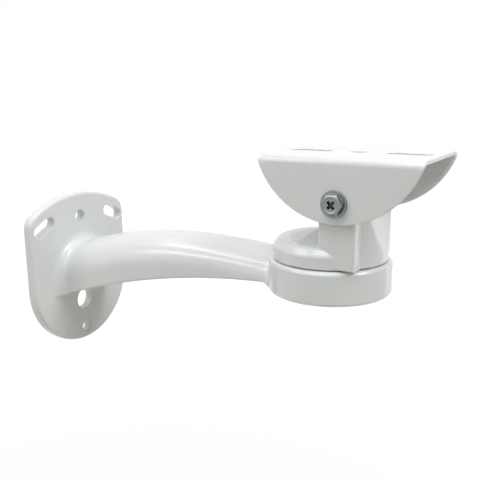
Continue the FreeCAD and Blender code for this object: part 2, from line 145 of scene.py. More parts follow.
def rounded(corners: list[Triple], steps: int) -> Array:
    """Closed polygon with rounded corners.

    With unit directions a and b from a corner to its neighbours and h half the angle between
    them, the arc's centre lies r / sin h from the corner along a + b. Its points swing from the
    touching point on one side to the one on the other:
    start sin((1 - t) w) / sin w + end sin(t w) / sin w, with w = 180 - 2 h.

    Args:
        corners: two coordinates and a radius for each corner.
        steps: points on each round.

    Returns:
        Points of the outline, without repeats.
    """
    corner, radius = np.array(corners)[:, :2], np.array(corners)[:, 2, None]
    back = np.roll(corner, 1, axis=0) - corner
    ahead = np.roll(corner, -1, axis=0) - corner
    back /= np.linalg.norm(back, axis=1, keepdims=True)
    ahead /= np.linalg.norm(ahead, axis=1, keepdims=True)
    half = np.arccos(np.clip(np.sum(back * ahead, axis=1, keepdims=True), -1.0, 1.0)) / 2.0
    length = np.linalg.norm(back + ahead, axis=1, keepdims=True)
    centre = corner + (back + ahead) / np.maximum(length, 1e-9) * radius / np.sin(half)
    start = corner + back * radius / np.tan(half) - centre
    end = corner + ahead * radius / np.tan(half) - centre
    turn = np.maximum(math.pi - 2.0 * half, 1e-6)[:, None]
    share = np.linspace(0.0, 1.0, steps)[None, :, None]
    swing = start[:, None] * np.sin((1.0 - share) * turn) + end[:, None] * np.sin(share * turn)
    return joined((centre[:, None] + swing / np.sin(turn)).reshape(-1, 2))


def eased(share: Array) -> Array:
    """Smooth rise from 0 to 1: 3 t^2 - 2 t^3."""
    return share * share * (3.0 - 2.0 * share)


def soft_least(first: Array, second: Array, soft: float | Array) -> Array:
    """Soft minimum of two lengths: (a + b - sqrt((a - b)^2 + k^2)) / 2."""
    return (first + second - np.sqrt((first - second) ** 2 + soft**2)) / 2.0


@dataclass(frozen=True)
class Seat:
    """Where a piece stands: a centre, an axis and which way it points."""

    centre: Triple = (0.0, 0.0, 0.0)
    axis: Axis = Axis.Z
    way: float = 1.0

    def put(self, across: Array, up: Array, along: Array) -> Array:
        """Points from two distances across the axis and one along it.

        Args:
            across: distances along the first of the other two row axes.
            up: distances along the second one.
            along: distances along the seat's own axis.

        Returns:
            One point for each combination, as rows of three.
        """
        first, second = [i for i in range(3) if i != self.axis.value]
        points = np.empty(np.broadcast(across, up, along).shape + (3,))
        points[..., first] = across + self.centre[first]
        points[..., second] = up + self.centre[second]
        points[..., self.axis.value] = along * self.way + self.centre[self.axis.value]
        return points.reshape(-1, 3)

    def around(self, radius: Array, angle: Array, along: Array) -> Array:
        """Points about the axis: across = r cos a, up = r sin a."""
        return self.put(radius * np.cos(angle), radius * np.sin(angle), along)

    def raised(self, height: float) -> "Seat":
        """Seat moved out along its own axis."""
        shift = [height * self.way * (i == self.axis.value) for i in range(3)]
        return replace(self, centre=tuple(np.add(self.centre, shift).tolist()))


def linked(item: bpy.types.Object) -> bpy.types.Object:
    """Link an object to the scene and return it."""
    bpy.context.scene.collection.objects.link(item)
    return item


@dataclass
class Shell:
    """Closed surface: points in millimetres, and faces as lists of point numbers."""

    points: Array
    faces: list[list[int]]

    def build(self, name: str) -> bpy.types.Object:
        """Make the shell an object in metres, with its doubles merged and its faces outwards.

        Args:
            name: name of the object and its mesh.

        Returns:
            The object, linked to the scene.
        """
        mesh = bpy.data.meshes.new(name)
        mesh.from_pydata(self.points * METRES, [], self.faces)
        work = bmesh.new()
        work.from_mesh(mesh)
        bmesh.ops.remove_doubles(work, verts=work.verts, dist=METRES * MERGED)
        bmesh.ops.recalc_face_normals(work, faces=work.faces)
        if work.calc_volume(signed=True) < 0.0:
            bmesh.ops.reverse_faces(work, faces=work.faces)
        work.to_mesh(mesh)
        work.free()
        return linked(bpy.data.objects.new(name, mesh))


def turned(
    profile: Array, seat: Seat, steps: int, gap: float = 0.0, closed: bool = True
) -> Shell:
    """Turn a profile about an axis: across = r cos a, up = r sin a, along = h.

    Args:
        profile: radius and height of each point.
        seat: centre and axis of the turn.
        steps: points around the axis.
        gap: degrees left open about a = 0, with flat ends.
        closed: whether the profile closes on itself; otherwise it runs from pole to pole.

    Returns:
        The surface.
    """
    half = math.radians(gap / 2.0)
    angle = np.linspace(half, 2.0 * math.pi - half, steps, endpoint=gap > 0.0)[:, None]
    points = seat.around(profile[None, :, 0], angle, profile[None, :, 1])
    count = len(profile)
    if gap:
        return Shell(points, capped_faces(steps, count))
    seam = np.array(grid_faces(2, count, closed))
    seam = np.where(seam < count, seam + (steps - 1) * count, seam - count)
    return Shell(points, grid_faces(steps, count, closed) + seam.tolist())


@dataclass
class Rim:
    """Closed edge of a slab, with the radii that its lower and upper corners are rounded by."""

    line: Array
    low: float
    high: float

    def rows(self, bottom: float, top: float, hole: bool, steps: int) -> Array:
        """Rows of points up the edge.

        Each row is the line moved into the material by r (1 - cos a), at r (1 - sin a) from the
        face, with a from 90 degrees down to 0 at the lower corner and back up to 90 at the upper.

        Args:
            bottom: height of the lower face.
            top: height of the upper face.
            hole: whether the material lies outside the line.
            steps: rows on each round.

        Returns:
            Points by row, as (across, up, height).
        """
        line = self.line
        beside = np.roll(line, -1, axis=0)
        area = np.sum(line[:, 0] * beside[:, 1] - beside[:, 0] * line[:, 1])
        if (area < 0.0) != hole:
            line = line[::-1]
        edge = np.roll(line, -1, axis=0) - line
        inward = np.stack([-edge[:, 1], edge[:, 0]], axis=-1)
        inward /= np.linalg.norm(inward, axis=1, keepdims=True)
        prior = np.roll(inward, 1, axis=0)
        inward = (inward + prior) / (1.0 + np.sum(inward * prior, axis=1, keepdims=True))
        turn = np.linspace(0.0, math.pi / 2.0, steps)
        into, off = 1.0 - np.cos(turn), 1.0 - np.sin(turn)
        step_in = np.concatenate([self.low * into[::-1], self.high * into])
        height = np.concatenate([bottom + self.low * off[::-1], top - self.high * off])
        flat = line[None] + step_in[:, None, None] * inward[None]
        level = np.broadcast_to(height[:, None, None], flat.shape[:2] + (1,))
        return np.concatenate([flat, level], axis=-1)


def filling(loops: list[Array], seeds: Array) -> Array:
    """Triangles over the area inside the first loop and outside the others.

    A triangle is kept if a ray from its middle crosses the loops an odd number of times.

    Args:
        loops: closed lines of (across, up) points.
        seeds: more points inside the area.

    Returns:
        Three point numbers for each triangle, counted through the loops and then the seeds.
    """
    corners = np.concatenate([*loops, seeds])
    first, ends = 0, []
    for loop in loops:
        number = np.arange(len(loop))
        ends.append(np.stack([number, (number + 1) % len(loop)], axis=-1) + first)
        first += len(loop)
    edges = np.concatenate(ends)
    found = delaunay_2d_cdt([Vector(corner) for corner in corners], edges.tolist(), [], 0, 1e-7)
    source = np.array([origin[0] for origin in found[3]])
    triangles = source[np.array(found[2])]
    across, up = np.moveaxis(corners[triangles].mean(axis=1)[:, None], -1, 0)
    (low_x, low_y), (high_x, high_y) = corners[edges[:, 0]].T, corners[edges[:, 1]].T
    rise = np.where(high_y == low_y, 1.0, high_y - low_y)
    at = low_x + (high_x - low_x) * (up - low_y) / rise
    crossed = ((low_y > up) != (high_y > up)) & (across < at)
    return triangles[np.sum(crossed, axis=1) % 2 == 1]


def slab(
    rims: list[Rim],
    bottom: float,
    top: float,
    place: Callable[[Array, Array, Array], Array],
    seeds: Array | None = None,
    steps: int = 5,
) -> Shell:
    """Slab with rounded rims: a grid of rows up each rim, and two faces filled between them.

    Args:
        rims: the outline first, then the holes.
        bottom: height of the lower face.
        top: height of the upper face.
        place: turns across, up and height into points.
        seeds: (across, up) points inside the faces, where the slab is to bend.
        steps: rows on each round.

    Returns:
        The surface.
    """
    seeds = np.zeros((0, 2)) if seeds is None else seeds
    rows = [rim.rows(bottom, top, number > 0, steps) for number, rim in enumerate(rims)]
    points, faces, lower, upper, first = [], [], [], [], 0
    for grid in rows:
        count = grid.shape[1]
        faces += (np.array(grid_faces(2 * steps, count)) + first).tolist()
        lower.append(first + np.arange(count))
        upper.append(first + (2 * steps - 1) * count + np.arange(count))
        points.append(grid.reshape(-1, 3))
        first += grid.shape[0] * count
    for level, height, numbers in ((0, bottom, lower), (-1, top, upper)):
        numbers.append(first + np.arange(len(seeds)))
        points.append(np.column_stack([seeds, np.full(len(seeds), height)]))
        first += len(seeds)
        triangles = filling([grid[level, :, :2] for grid in rows], seeds)
        faces += np.concatenate(numbers)[triangles].tolist()
    return Shell(place(*np.concatenate(points).T), faces)


def combined(piece: bpy.types.Object, shells: list[Shell], join: Join) -> None:
    """Add closed shells to a piece or cut them out of it.

    Args:
        piece: object whose mesh is changed.
        shells: closed surfaces, in the order that they are used.
        join: whether they are added or cut.
    """
    tools = [shell.build("tool") for shell in shells]
    for tool in tools:
        step = piece.modifiers.new("solid", "BOOLEAN")
        step.operation = join.value
        step.solver = "MANIFOLD"
        step.object = tool
    settle(piece)
    for tool in tools:
        bpy.data.objects.remove(tool)


def settle(piece: bpy.types.Object) -> None:
    """Make the result of a piece's modifiers its mesh.

    Args:
        piece: object with live modifiers.
    """
    bpy.context.view_layer.update()
    shown = piece.evaluated_get(bpy.context.evaluated_depsgraph_get())
    mesh = bpy.data.meshes.new_from_object(shown)
    piece.modifiers.clear()
    piece.data = mesh


def polished(piece: bpy.types.Object, crease: float = 32.0) -> None:
    """Shade a piece smoothly up to its creases, with normals led by its large faces.

    Args:
        piece: object to shade.
        crease: angle in degrees from which an edge stays sharp.
    """
    piece.data.shade_smooth()
    piece.data.set_sharp_from_angle(angle=math.radians(crease))
    soft = piece.modifiers.new("soft", "WEIGHTED_NORMAL")
    soft.mode = "FACE_AREA_WITH_ANGLE"
    soft.keep_sharp = True
    settle(piece)


def finished(
    piece: bpy.types.Object, finish: bpy.types.Material, body: Body, slot: Slot, node: str
) -> None:
    """Shade and dress a piece, let it ride on its body and stand for its construction node.

    Args:
        piece: the shaped piece.
        finish: its material.
        body: body that it moves with.
        slot: material slot of the record; not used.
        node: construction node that it replaces.
    """
    polished(piece)
    piece.data.materials.clear()
    piece.data.materials.append(finish)
    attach(piece, body.value)
    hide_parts(node)
    LOG.info("%s: %d faces, for %s", piece.name, len(piece.data.polygons), node)


class Value:
    """A number, colour or vector socket that can be used in a formula."""

    def __init__(self, graph: "Graph", socket: bpy.types.NodeSocket) -> None:
        """Keep the graph that the value belongs to, and its output socket."""
        self.graph = graph
        self.socket = socket

    def _math(self, operation: str, *others: "Value | float") -> "Value":
        """Add a Math node on this value and others."""
        return self.graph.add("ShaderNodeMath", [self, *others], operation=operation)

    def __add__(self, other: "Value | float") -> "Value":
        """Return the sum."""
        return self._math("ADD", other)

    __radd__ = __add__

    def __sub__(self, other: "Value | float") -> "Value":
        """Return the difference."""
        return self._math("SUBTRACT", other)

    def __rsub__(self, other: float) -> "Value":
        """Return a number less this value."""
        return (self * -1.0) + other

    def __mul__(self, other: "Value | float") -> "Value":
        """Return the product."""
        return self._math("MULTIPLY", other)

    __rmul__ = __mul__

    def __pow__(self, other: float) -> "Value":
        """Return the power."""
        return self._math("POWER", other)

    def sine(self) -> "Value":
        """Return the sine."""
        return self._math("SINE")

    def most(self, other: "Value | float") -> "Value":
        """Return the larger of two values."""
        return self._math("MAXIMUM", other)

    def step(self, low: float, high: float) -> "Value":
        """Return 0 below low, 1 above high and a smooth rise between them."""
        inputs = {"Value": self, "From Min": low, "From Max": high}
        return self.graph.add("ShaderNodeMapRange", inputs, interpolation_type="SMOOTHSTEP")


class Graph:
    """Node graph of a material or of the world."""

    def __init__(self, owner: bpy.types.Material | bpy.types.World) -> None:
        """Switch the owner's nodes on and clear them.

        Args:
            owner: material or world that the nodes belong to.
        """
        owner.use_nodes = True
        self.owner = owner
        self.tree = owner.node_tree
        self.tree.nodes.clear()

    def node(self, kind: str, inputs: Inputs = (), **settings: object) -> bpy.types.Node:
        """Add a node, set it up and fill its sockets.

        Args:
            kind: type name of the node.
            inputs: values or links, by socket name or in order.
            settings: properties of the node, such as a Math node's operation.

        Returns:
            The new node.
        """
        made = self.tree.nodes.new(kind)
        for key, value in settings.items():
            setattr(made, key, value)
        for key, value in inputs.items() if isinstance(inputs, dict) else enumerate(inputs):
            socket = made.inputs[key]
            if isinstance(value, Value):
                self.tree.links.new(value.socket, socket)
            else:
                socket.default_value = value
        return made

    def add(
        self, kind: str, inputs: Inputs = (), output: str | int = 0, **settings: object
    ) -> Value:
        """Add a node and return one of its outputs, by name or number."""
        return Value(self, self.node(kind, inputs, **settings).outputs[output])

    def place(self, centre: Triple = (0.0, 0.0, 0.0)) -> Value:
        """Object coordinates in metres, measured from a centre in millimetres."""
        coords, shift = self.add("ShaderNodeTexCoord", output="Object"), np.array(centre) * -METRES
        return self.add("ShaderNodeMapping", {"Vector": coords, "Location": shift})

    def noise(self, where: Value, size: float, detail: float = 2.0) -> Value:
        """Noise between 0 and 1 whose lumps are about size millimetres wide."""
        inputs = {"Vector": where, "Scale": 1.0 / (METRES * size), "Detail": detail}
        return self.add("ShaderNodeTexNoise", inputs, "Fac")

    def tint(self, share: Value, plain: Value | tuple[float, ...], other: Triple) -> Value:
        """Colour that goes from the plain one to the other one as the share goes from 0 to 1."""
        inputs = {"Factor": share, "A": plain, "B": (*other, 1.0)}
        return self.add("ShaderNodeMix", inputs, "Result", data_type="RGBA")

    def seen(self) -> Value:
        """1 for what the camera sees, also in a reflection or through glass, and 0 for the rest.

        Returns:
            The largest of the three kinds of ray.
        """
        path = self.node("ShaderNodeLightPath")
        kinds = ("Is Camera Ray", "Is Glossy Ray", "Is Transmission Ray")
        camera, glossy, through = (Value(self, path.outputs[kind]) for kind in kinds)
        return camera.most(glossy).most(through)

    def coated(self, inputs: Inputs) -> bpy.types.Material:
        """Finish the material with a Principled shader on these inputs."""
        return self.finish(self.add("ShaderNodeBsdfPrincipled", inputs, "BSDF"))

    def finish(
        self, shader: Value, kind: str = "ShaderNodeOutputMaterial"
    ) -> bpy.types.Material | bpy.types.World:
        """Connect the surface shader to an output of the kind, and return the owner."""
        self.node(kind, {"Surface": shader})
        return self.owner


@dataclass(frozen=True)
class PaintFinish:
    """Glossy white powder coat, with the fine peel and the slow swell of the surface below it.

    The peel, the swell and the mottle of the roughness are each a lump size and a height.
    """

    name: str
    peel: Pair
    swell: Pair
    mottle: Pair = (6.0, 0.08)
    colour: Triple = (0.785, 0.812, 0.800)
    shade: float = 0.03
    cloud: float = 28.0
    cloud_edges: Pair = (0.3, 0.7)
    roughness: float = 0.24
    coat: float = 0.35
    coat_roughness: float = 0.10

    def build(self) -> bpy.types.Material:
        """Build the shader; its relief is the peel and the swell noise, each times its height.

        Returns:
            The material.
        """
        graph = Graph(bpy.data.materials.new(self.name))
        where = graph.place()
        cloud = graph.noise(where, self.cloud, detail=1.0).step(*self.cloud_edges)
        shaded = tuple(c * (1.0 - self.shade) for c in self.colour)
        height = graph.noise(where, self.peel[0]) * self.peel[1]
        height = height + graph.noise(where, self.swell[0], detail=0.0) * self.swell[1]
        size, spread = self.mottle
        least = self.roughness - spread / 2.0
        inputs = {
            "Base Color": graph.tint(cloud, (*self.colour, 1.0), shaded),
            "Roughness": graph.noise(where, size, detail=3.0) * spread + least,
            "Normal": graph.add("ShaderNodeBump", {"Height": height, "Distance": METRES}),
            "Coat Weight": self.coat,
            "Coat Roughness": self.coat_roughness,
        }
        return graph.coated(inputs)


@dataclass(frozen=True)
class ZincFinish:
    """Bright zinc plating on a turned steel piece, with fine rings about its axis.

    The grain is a lump size and a detail, and the relief a strength and a depth. Painted shade, a
    darker base colour standing in for shade, fades in or out between the two lengths of a side,
    measured from the axis, of a top or foot, measured from the seat, and of the end, measured
    along the second row axis across it.
    """

    name: str
    seat: Seat
    colour: Triple = (0.25, 0.272, 0.268)
    worn: float = 0.78
    grain: Pair = (0.8, 4.0)
    grain_edges: Pair = (0.35, 0.7)
    ring_pitch: float = 0.25
    relief: Pair = (0.2, 0.02)
    roughness: float = 0.42
    roughness_spread: float = 0.2
    # painted shade: how strongly, and to which dark colour, the recess and the band under the head
    # are darkened
    painted_shade: float = 0.85
    painted_shade_colour: Triple = (0.02, 0.022, 0.022)
    recess_side: Pair = (1.9, 2.1)
    recess_top: Pair = (2.7, 2.9)
    joint_side: Pair = (3.0, 3.4)
    joint_foot: Pair = (1.35, 1.5)
    joint_top: Pair = (1.5, 1.65)
    joint_end: Pair = (-0.8, 0.4)

    def build(self) -> bpy.types.Material:
        """Build the shader, with painted shade in the head's recess and on the lower side just
        under the head.

        Returns:
            The material.
        """
        graph = Graph(bpy.data.materials.new(self.name))
        where = graph.place(self.seat.centre)
        split = graph.node("ShaderNodeSeparateXYZ", [where])
        axis = self.seat.axis.value
        across, up = (Value(graph, split.outputs[i]) for i in range(3) if i != axis)
        radius = (across * across + up * up) ** 0.5
        height = Value(graph, split.outputs[axis]) * (self.seat.way / METRES)
        wide = radius * (1.0 / METRES)
        # Painted shade: the base colour darkens inside the cross recess, and in a band just under
        # the head on its lower side only, where shade falls.
        recess = (1.0 - wide.step(*self.recess_side)) * (1.0 - height.step(*self.recess_top))
        low = 1.0 - (up * (1.0 / METRES)).step(*self.joint_end)
        joint = (1.0 - height.step(*self.joint_top)) * height.step(*self.joint_foot)
        joint = joint * wide.step(*self.joint_side) * low
        rings = (radius * (2.0 * math.pi / (METRES * self.ring_pitch))).sine() * 0.5 + 0.5
        grain = graph.noise(where, *self.grain)
        darker = tuple(c * self.worn for c in self.colour)
        tone = graph.tint(grain.step(*self.grain_edges), (*self.colour, 1.0), darker)
        strength, depth = self.relief
        relief = rings * 0.5 + grain * 0.5
        bump = {"Height": relief, "Strength": strength, "Distance": METRES * depth}
        least = self.roughness - self.roughness_spread / 2.0
        inputs = {
            # the base colour goes towards the painted shade colour where either mask is set
            "Base Color": graph.tint(recess.most(joint) * self.painted_shade, tone, self.painted_shade_colour),
            "Metallic": 1.0,
            "Roughness": grain * self.roughness_spread + least,
            "Normal": graph.add("ShaderNodeBump", bump),
        }
        return graph.coated(inputs)


@dataclass(frozen=True)
class StudioWhite:
    """White floor whose middle shows some of the lamps' light, and so keeps the shadow."""

    name: str
    colour: Triple = (0.81, 0.80, 0.77)
    kept: float = 0.2
    fade: Pair = (0.3, 0.9)
    glow: float = 1.08

    def build(self) -> bpy.types.Material:
        """Build the shader; the share of plain floor falls from the middle outwards.

        Returns:
            The material.
        """
        graph = Graph(bpy.data.materials.new(self.name))
        away = graph.add("ShaderNodeVectorMath", [graph.place()], "Value", operation="LENGTH")
        plain_share = (1.0 - away.step(*self.fade)) * self.kept
        plain = graph.add("ShaderNodeBsdfDiffuse", {"Color": (*self.colour, 1.0)})
        white = graph.add("ShaderNodeEmission", {"Color": WHITE, "Strength": self.glow})
        share = graph.seen() * (1.0 - plain_share)
        return graph.finish(graph.add("ShaderNodeMixShader", [share, plain, white]))


@dataclass
class WallArm:
    """The one casting that is fixed to the wall: plate, hollow arm and round socket.

    The plate's crown is the height of its centre and its radius, and a round hole the height of
    its centre and its radius. Edges are the rounding at the wall and the one in front. Crest and
    rim level are a distance from the wall and a height, the widths and the crest's radii are
    those next to the wall and to the socket, and the root starts at an angle in degrees. The
    socket is an outer and an inner radius; its bore and its screw hole are a radius and how far
    they reach down. Rows are those of the flare, the back and the end, and stations those of a
    leg, a foot and the arch.
    """

    plate_half: float = 31.7
    plate_thickness: float = 4.8
    plate_crown: Pair = (-22.3, 62.6)
    plate_corner: float = 8.0
    plate_foot_z: float = -3.2
    plate_edges: Pair = (0.3, 1.5)
    round_holes: tuple[Pair, ...] = ((29.0, 2.9), (-29.0, 2.9), (-13.8, 5.25))
    slot_radius: float = 54.8
    slot_inset: float = 8.2
    slot_size: Pair = (13.4, 5.6)
    hole_edges: Pair = (0.2, 0.3)
    reach: float = PAN_X
    wall: float = 3.0
    widths: Pair = (31.0, 24.6)
    crest: Pair = (77.0, 28.0)
    crest_radii: Pair = (210.0, 385.0)
    rim_level: Pair = (127.5, 13.8)
    rim_radius: float = 350.0
    rim_end: float = 0.35
    root_round: float = 6.3
    root_start: float = 12.0
    root_tail: float = 1.6
    blend_radius: float = 6.5
    foot_round: float = 0.9
    last_straight: float = 112.0
    arch_limit: float = 0.9
    arm_rows: tuple[int, int, int] = (12, 40, 17)
    arm_stations: tuple[int, int, int] = (8, 4, 41)
    socket: Pair = (24.3, 20.3)
    socket_heights: Pair = (11.5, 24.6)
    socket_chamfer: float = 0.9
    bore: Pair = (15.0, 3.3)
    screw_hole: Pair = (2.75, 6.3)
    pocket: float = 23.4

    def blend_run(self) -> Pair:
        """Where the arm's sides begin to flare towards the socket, and where they touch it.

        Returns:
            Both distances from the wall.
        """
        centre_y = self.widths[1] / 2.0 + self.blend_radius
        reach = self.socket[0] + self.blend_radius
        run = math.sqrt(reach**2 - centre_y**2)
        return self.reach - run, self.reach - run * self.socket[0] / reach

    def lines(self, x: Array) -> tuple[Array, Array, Array]:
        """Half the arm's width, and the heights of its back and of its open lower rim.

        The width tapers with an ease and then flares by R - sqrt(R^2 - d^2), with d the distance
        past the start of the blend. The back is two arcs that meet level at the crest, and the
        rim is one long arc that eases down to the socket's underside.

        Args:
            x: distances from the wall.

        Returns:
            The three lengths at each distance.
        """
        start, end = self.blend_run()
        first, last = self.widths
        taper = np.clip((x - self.plate_thickness) / (start - self.plate_thickness), 0.0, 1.0)
        past = np.clip(x - start, 0.0, end - start)
        half = (first + (last - first) * eased(taper)) / 2.0
        half = half + self.blend_radius - np.sqrt(self.blend_radius**2 - past**2)
        run = x - self.crest[0]
        radius = np.where(run < 0.0, *self.crest_radii)
        back = self.crest[1] - radius + np.sqrt(radius**2 - run**2)
        run = np.minimum(x, start) - self.rim_level[0]
        rim = self.rim_level[1] - self.rim_radius + np.sqrt(self.rim_radius**2 - run**2)
        dip = self.socket_heights[0] + self.rim_end - rim
        return half, back, rim + dip * eased(np.clip((x - start) / (end - start), 0.0, 1.0))

    def section(self) -> Array:
        """Stations around the wall's cut, from one foot over the arch to the other and back.

        Returns:
            Share of the swing over the arch, share of the way down the leg, distance in from the
            outside, drop below the leg's end, and weight of the root's flare, for each station.
        """
        legs, feet, arches = self.arm_stations
        leg = np.linspace(1.0, 0.0, legs)[:-1]
        foot = np.linspace(math.pi / 2.0, 0.0, feet)[:-1]
        inset, below = self.foot_round * (1.0 - np.cos(foot)), self.foot_round * np.sin(foot)
        at_foot, at_leg = [0.0 * foot + 1.0, inset, below], [leg, 0.0 * leg, 0.0 * leg]
        side = np.concatenate([at_foot, at_leg], axis=1)
        sides = np.concatenate([side, np.zeros((3, arches)), side[:, ::-1]], axis=1)
        share, inset, below = sides
        none = 0.0 * side[0]
        over = np.concatenate([none, np.linspace(0.0, 1.0, arches), none + 1.0])
        outer = np.stack([over, share, inset, below, 0.0 * over + 1.0])
        inner = np.stack([over, share, self.wall - inset, below, 0.0 * over])
        return np.concatenate([outer, inner[:, ::-1]], axis=1)

    def hollow(self) -> Shell:
        """Arm as one closed surface: the wall's cut carried from the plate into the socket.

        Across the arm y = w cos a and z = spring + w sin a, where w is half the width less the
        inset plus the root's flare, and the spring is the crown's height less half the width.
        The angle a runs over the arch from where it comes down to the leg's end, at the rim plus
        the foot's round; where the spring is higher than that, a straight leg joins them. The
        flare at the root follows a quarter circle, and the last rows run to the pocket's circle
        around the socket's axis, x = reach - sqrt(p^2 - y^2).

        Returns:
            The surface.
        """
        over, share, inset, below, flare = self.section()
        flare_rows, back_rows, end_rows = self.arm_rows
        turn = np.radians(np.linspace(self.root_start, 90.0, flare_rows))[:, None]
        root = self.plate_thickness
        rising = root + self.root_round * (1.0 - np.cos(turn))
        inside = np.array([[root / 2.0]])
        tangent = rising[:1] - self.root_tail * np.sin(turn[:1])
        along = np.linspace(root + self.root_round, self.last_straight, back_rows)[1:, None]
        x = np.concatenate([inside, tangent, rising, along])
        out = self.root_round * (1.0 - np.sin(turn))
        tail = out[:1] + self.root_tail * np.cos(turn[:1])
        plain = np.zeros((back_rows + end_rows - 2, 1))
        spread = np.concatenate([tail, tail, out, plain]) * flare
        at_socket = self.lines(np.array([self.blend_run()[1]]))[0]
        aside = (at_socket - inset) * np.cos(over * math.pi)
        last = self.reach - np.sqrt(self.pocket**2 - aside**2)
        climb = np.linspace(0.0, 1.0, end_rows)[1:, None]
        ends = self.last_straight + (last - self.last_straight) * climb
        x = np.concatenate([np.broadcast_to(x, (len(x), over.size)), ends])
        half, back, rim = self.lines(x)
        width = half - inset + spread
        spring = back - half
        leg_end = rim + self.foot_round
        least = np.arcsin(np.clip((leg_end - spring) / width, 0.0, self.arch_limit))
        angle = least + over * (math.pi - 2.0 * least)
        y = width * np.cos(angle)
        z = spring + width * np.sin(angle)
        z += share * (leg_end - z) - below
        rows, count = x.shape
        pair = np.arange(count // 2 - 1)
        cap = np.stack([pair, pair + 1, count - 2 - pair, count - 1 - pair], axis=-1)
        caps = cap.tolist() + (cap + (rows - 1) * count).tolist()
        return Shell(np.stack([x, y, z], axis=-1).reshape(-1, 3), grid_faces(rows, count) + caps)

    def slots(self) -> list[Array]:
        """Outlines of the two slots in the plate's upper corners, bent about the crown's centre.

        Returns:
            One closed line for each slot.
        """
        centre = (0.0, self.plate_crown[0])
        length, width = self.slot_size
        half = width / 2.0
        middle = math.degrees(math.acos((self.plate_half - self.slot_inset) / self.slot_radius))
        swing = math.degrees((length - width) / 2.0 / self.slot_radius)
        lines = []
        for side in (middle, 180.0 - middle):
            low, high = side - swing, side + swing
            tip_high, tip_low = arc(centre, self.slot_radius, high, low, steps=2)
            outer = arc(centre, self.slot_radius + half, low, high, steps=8)
            inner = arc(centre, self.slot_radius - half, high, low, steps=8)
            first = arc(tip_high, half, high, high + 180.0, steps=16)
            second = arc(tip_low, half, low + 180.0, low + 360.0, steps=16)
            lines.append(joined(outer, first, inner, second))
        return lines

    def plate(self) -> Shell:
        """Wall plate: arched top, rounded corners, straight sides and a half-round foot.

        Returns:
            The surface.
        """
        crown_z, crown_radius = self.plate_crown
        corner_y = self.plate_half - self.plate_corner
        inner = crown_radius - self.plate_corner
        corner_z = crown_z + math.sqrt(inner**2 - corner_y**2)
        lean = math.degrees(math.acos(corner_y / inner))
        outline = joined(
            arc((corner_y, corner_z), self.plate_corner, 0.0, lean, steps=10),
            arc((0.0, crown_z), crown_radius, lean, 180.0 - lean, steps=34),
            arc((-corner_y, corner_z), self.plate_corner, 180.0 - lean, 180.0, steps=10),
            arc((0.0, self.plate_foot_z), self.plate_half, 180.0, 360.0, steps=60),
        )
        holes = [circle((0.0, height), radius, steps=49) for height, radius in self.round_holes]
        rims = [Rim(outline, *self.plate_edges)]
        rims += [Rim(line, *self.hole_edges) for line in [*holes, *self.slots()]]
        return slab(rims, 0.0, self.plate_thickness, Seat(axis=Axis.X).put, steps=6)

    def cup(self) -> Shell:
        """Socket turned about the pan axis, with its bore, floor, screw hole and lower recess.

        Returns:
            The surface.
        """
        outer, inner = self.socket
        bottom, top = self.socket_heights
        bore, bore_depth = self.bore
        hole, hole_depth = self.screw_hole
        ledge, floor = top - bore_depth, top - hole_depth
        cut = self.socket_chamfer
        outside = [(outer - cut, bottom, 0.4), (outer, bottom + cut, 0.5), (outer, top, 1.6)]
        inside = [(bore, top, 0.4), (bore, ledge, 0.3), (hole, ledge, 0.2)]
        below = [(hole, floor, 0.2), (inner, floor, 0.8), (inner, bottom, 0.4)]
        profile = rounded(outside + inside + below, steps=6)
        return turned(profile, Seat((self.reach, 0.0, 0.0)), steps=160)

    def build(self, finish: bpy.types.Material) -> None:
        """Join the casting's three forms and dress it.

        Args:
            finish: material of the casting.
        """
        piece = self.plate().build("arm_casting")
        combined(piece, [self.hollow(), self.cup()], Join.ADD)
        finished(piece, finish, Body.ARM, Slot.PAINT, "wall_arm")


